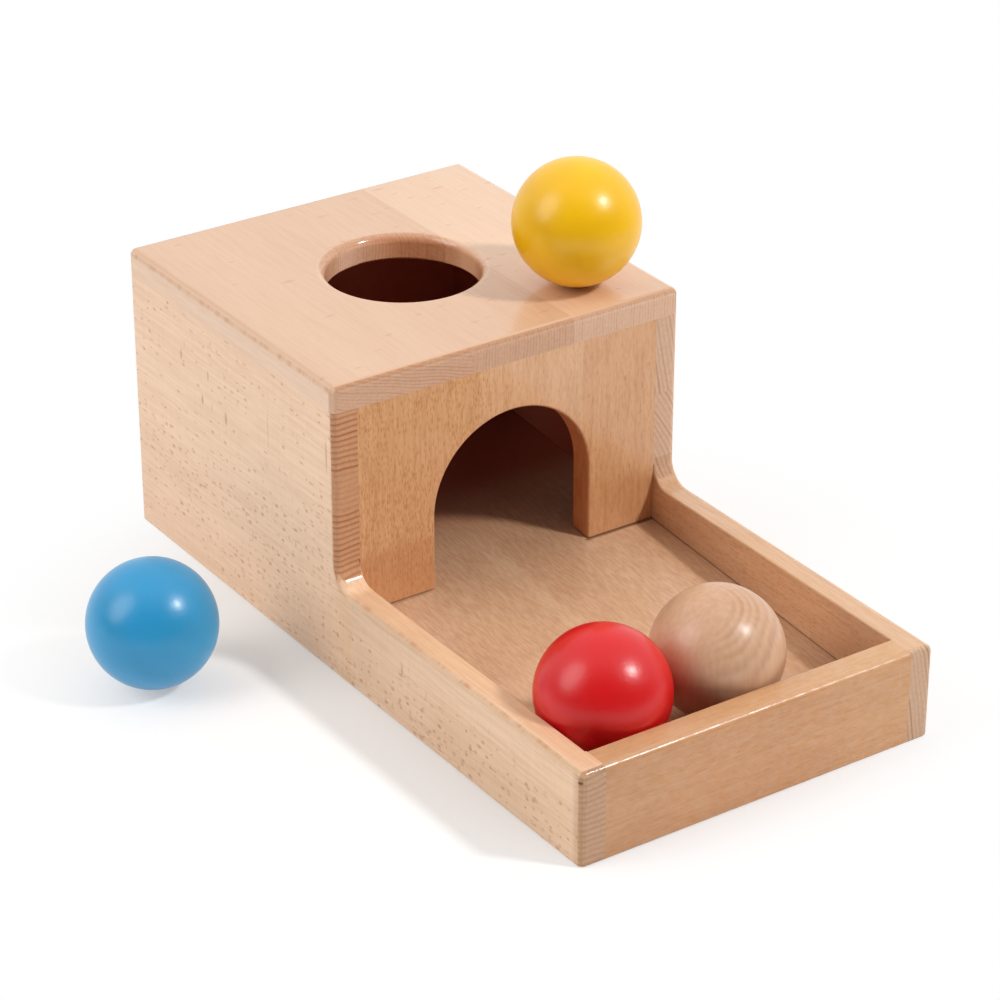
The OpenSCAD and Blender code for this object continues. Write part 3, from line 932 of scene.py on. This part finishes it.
# The plain ball: its pith's direction, the bend and step of its rings, and where they show
PITH = (-0.43, -0.08, 0.90)
PITH_CLEAR = (5.0 * MM, 9.0 * MM)
TURNED_TINT = srgb(213, 171, 138)
TURNED_RING_TINT = srgb(182, 130, 96)
TURNED_RING_SHARE = 0.5
TURNED_STEP = 2.3 * MM
TURNED_BEND = 5.0 * MM
TURNED_BEND_WAVES = 45.0
TURNED_RISE = (0.0, 0.65)
TURNED_FALL = (0.6, 1.0)
TURNED_STRENGTHS = (0.2, 1.0)
TURNED_SHOWN_TOWARDS = (*SEEN_RIGHT, -0.15)
TURNED_SHOWN = (-8.0 * MM, 4.0 * MM, 0.12, 1.0)
TURNED_FIBRE_WAVES = (600.0, 600.0, 120.0)
TURNED_FIBRE_TONES = (0.95, 1.05)
# Partly painted shade: the tone falls towards the ball's crown
TURNED_CROWN_SHADE = (2.0 * MM, 21.0 * MM, 0.02, -0.07)
TURNED_RELIEF = 0.05


def turned_rings(shader, space):
    """Soft growth rings round the pith, strongest at the right, with none close to the pith."""
    bend = shader.grains(space, TURNED_BEND_WAVES, detail=1.0)
    away = shader.length(shader.vectors("CROSS_PRODUCT", space, PITH)[0])
    away = shader.plus(away, shader.product(bend, TURNED_BEND))
    count = shader.product(away, 1.0 / TURNED_STEP)
    ring = shader.random(shader.math("FLOOR", count))
    part = shader.math("FRACT", count)
    return shader.product(
        shader.ramp(part, *TURNED_RISE), shader.fall(part, *TURNED_FALL),
        shader.ramp(ring, 0.0, 1.0, *TURNED_STRENGTHS),
        shader.ramp(shader.towards(space, TURNED_SHOWN_TOWARDS), *TURNED_SHOWN),
        shader.ramp(away, *PITH_CLEAR))


def turned_wood(name):
    """The plain ball: growth rings cut by the lathe, under a satin lacquer, and darker towards its crown,
    partly as painted shade.
    """
    shader = Shader(name)
    low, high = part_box("ball_natural")
    space = shader.moved(shader.coordinates["Object"], tuple(-(low + high) / 2))
    lines = shader.product(turned_rings(shader, space), TURNED_RING_SHARE)
    fibre = shader.noise(shader.scaled(space, TURNED_FIBRE_WAVES), detail=3.0)
    # Darker towards the crown, partly painted shade
    crown_shade = shader.ramp(shader.parts(space)["Z"], *TURNED_CROWN_SHADE)
    tone = shader.plus(shader.vary(fibre, *TURNED_FIBRE_TONES), crown_shade)
    shader.set(Base_Color=shader.shaded(shader.mix(lines, TURNED_TINT, TURNED_RING_TINT), tone))
    shader.set(Roughness=0.36, Specular_IOR_Level=0.45, Coat_Weight=0.08, Coat_Roughness=0.2)
    shader.set(Normal=shader.bump(fibre, TURNED_RELIEF, FINE_DEPTH))
    return shader.material


def dress(node, material):
    NODES[node].data.materials.clear()
    NODES[node].data.materials.append(material)


def dress_box():
    for node, board in BOARDS.items():
        dress(node, beech("beech_" + node, board, FINISHES.get(node)))
    dress("floor_panel", plywood("plywood_floor"))
    peg = dowel_wood("dowel_beech")
    for node in NODES:
        if "dowels" in node:
            dress(node, peg)


def dress_balls():
    for colour, tint in PAINT_TINTS.items():
        dress("ball_" + colour, paint(colour + "_paint", tint))
    dress("ball_natural", turned_wood("turned_beech"))


def seen_directly(shader):
    """1 for rays from the camera, and for those that a shiny or clear surface sends on."""
    rays = shader.add("ShaderNodeLightPath").outputs
    shiny = shader.math("MAXIMUM", rays["Is Camera Ray"], rays["Is Glossy Ray"])
    return shader.math("MAXIMUM", shiny, rays["Is Transmission Ray"])


def make_world():
    """A studio that is bright behind the object and dim in front of it, and white to the camera."""
    world = bpy.data.worlds.new("studio")
    bpy.context.scene.world = world
    world.use_nodes = True
    nodes = Nodes(world.node_tree)
    rays = nodes.add("ShaderNodeLightPath").outputs
    behind = nodes.towards(nodes.coordinates["Generated"], STUDIO_TOWARDS.normalized())
    level = nodes.ramp(behind, *STUDIO_SPAN, STUDIO_FRONT, STUDIO_BACK)
    part = nodes.spread(rays["Is Glossy Ray"], 0.0, 1.0, STUDIO_FILL, 1.0)
    studio = nodes.tree.nodes["Background"]
    nodes.join(WHITE, studio.inputs["Color"])
    nodes.join(nodes.product(level, part), studio.inputs["Strength"])
    backdrop = nodes.add("ShaderNodeBackground", {"Color": WHITE})
    nodes.show("World Output", rays["Is Camera Ray"], studio, backdrop)


def floor_paper():
    """Matt white paper near the object, which turns into plain white away from it."""
    shader = Shader("floor_paper")
    shader.set(Base_Color=FLOOR_PAPER, Roughness=1.0, Specular_IOR_Level=0.0)
    away = shader.length(shader.moved(shader.coordinates["Object"], FLOOR_FADE_SHIFT))
    fade = shader.ramp(away, FLOOR_FADE_FROM, FLOOR_FADE_TO, FLOOR_GLOW_NEAR, 1.0)
    share = shader.product(fade, seen_directly(shader))
    glow = shader.add("ShaderNodeEmission", {"Color": WHITE, "Strength": 1.0})
    shader.show("Material Output", share, shader.surface, glow)
    return shader.material


def make_floor():
    turns = [2 * math.pi * side / FLOOR_SIDES for side in range(FLOOR_SIDES)]
    rim = [(FLOOR_RADIUS * math.cos(turn), FLOOR_RADIUS * math.sin(turn), 0.0) for turn in turns]
    mesh = bpy.data.meshes.new("floor")
    mesh.from_pydata(rim, [], [tuple(range(FLOOR_SIDES))])
    mesh.materials.append(floor_paper())
    floor = bpy.data.objects.new("floor", mesh)
    low, high = CAD_BOX
    floor.location = ((low.x + high.x) / 2, (low.y + high.y) / 2, -FLOOR_DROP)
    bpy.context.scene.collection.objects.link(floor)


def make_lamp(name, towards, size, share):
    """An oval lamp that alone would light a facing white surface to the given share of white."""
    lamp = bpy.data.lights.new(name, "AREA")
    lamp.shape = "ELLIPSE"
    lamp.size, lamp.size_y = size
    lamp.energy = share * math.pi ** 2 * LAMP_DISTANCE ** 2
    holder = bpy.data.objects.new(name, lamp)
    holder.location = LAMP_AIM + towards.normalized() * LAMP_DISTANCE
    holder.rotation_mode = "QUATERNION"
    holder.rotation_quaternion = (-towards).to_track_quat("-Z", "Y")
    holder.visible_camera = False
    bpy.context.scene.collection.objects.link(holder)


def make_camera():
    lens = bpy.data.cameras.new("camera")
    lens.lens = CAMERA_LENS
    lens.sensor_width = CAMERA_SENSOR
    lens.clip_start = CAMERA_CLIP
    camera = bpy.data.objects.new("camera", lens)
    level = math.cos(CAMERA_ELEVATION)
    forward = Vector((
        math.sin(CAMERA_AZIMUTH) * level, math.cos(CAMERA_AZIMUTH) * level, -math.sin(CAMERA_ELEVATION)))
    turn = forward.to_track_quat("-Z", "Y").to_matrix() @ Matrix.Rotation(CAMERA_ROLL, 3, "Z")
    camera.rotation_mode = "QUATERNION"
    camera.rotation_quaternion = turn.to_quaternion()
    camera.location = CAMERA_PLACE
    bpy.context.scene.collection.objects.link(camera)
    bpy.context.scene.camera = camera


dress_box()
dress_balls()
make_world()
make_floor()
make_lamp("key_lamp", KEY_TOWARDS, KEY_SIZE, KEY_SHARE)
make_lamp("soft_lamp", SOFT_TOWARDS, SOFT_SIZE, SOFT_SHARE)
make_camera()
bpy.context.scene.view_settings.view_transform = "Standard"
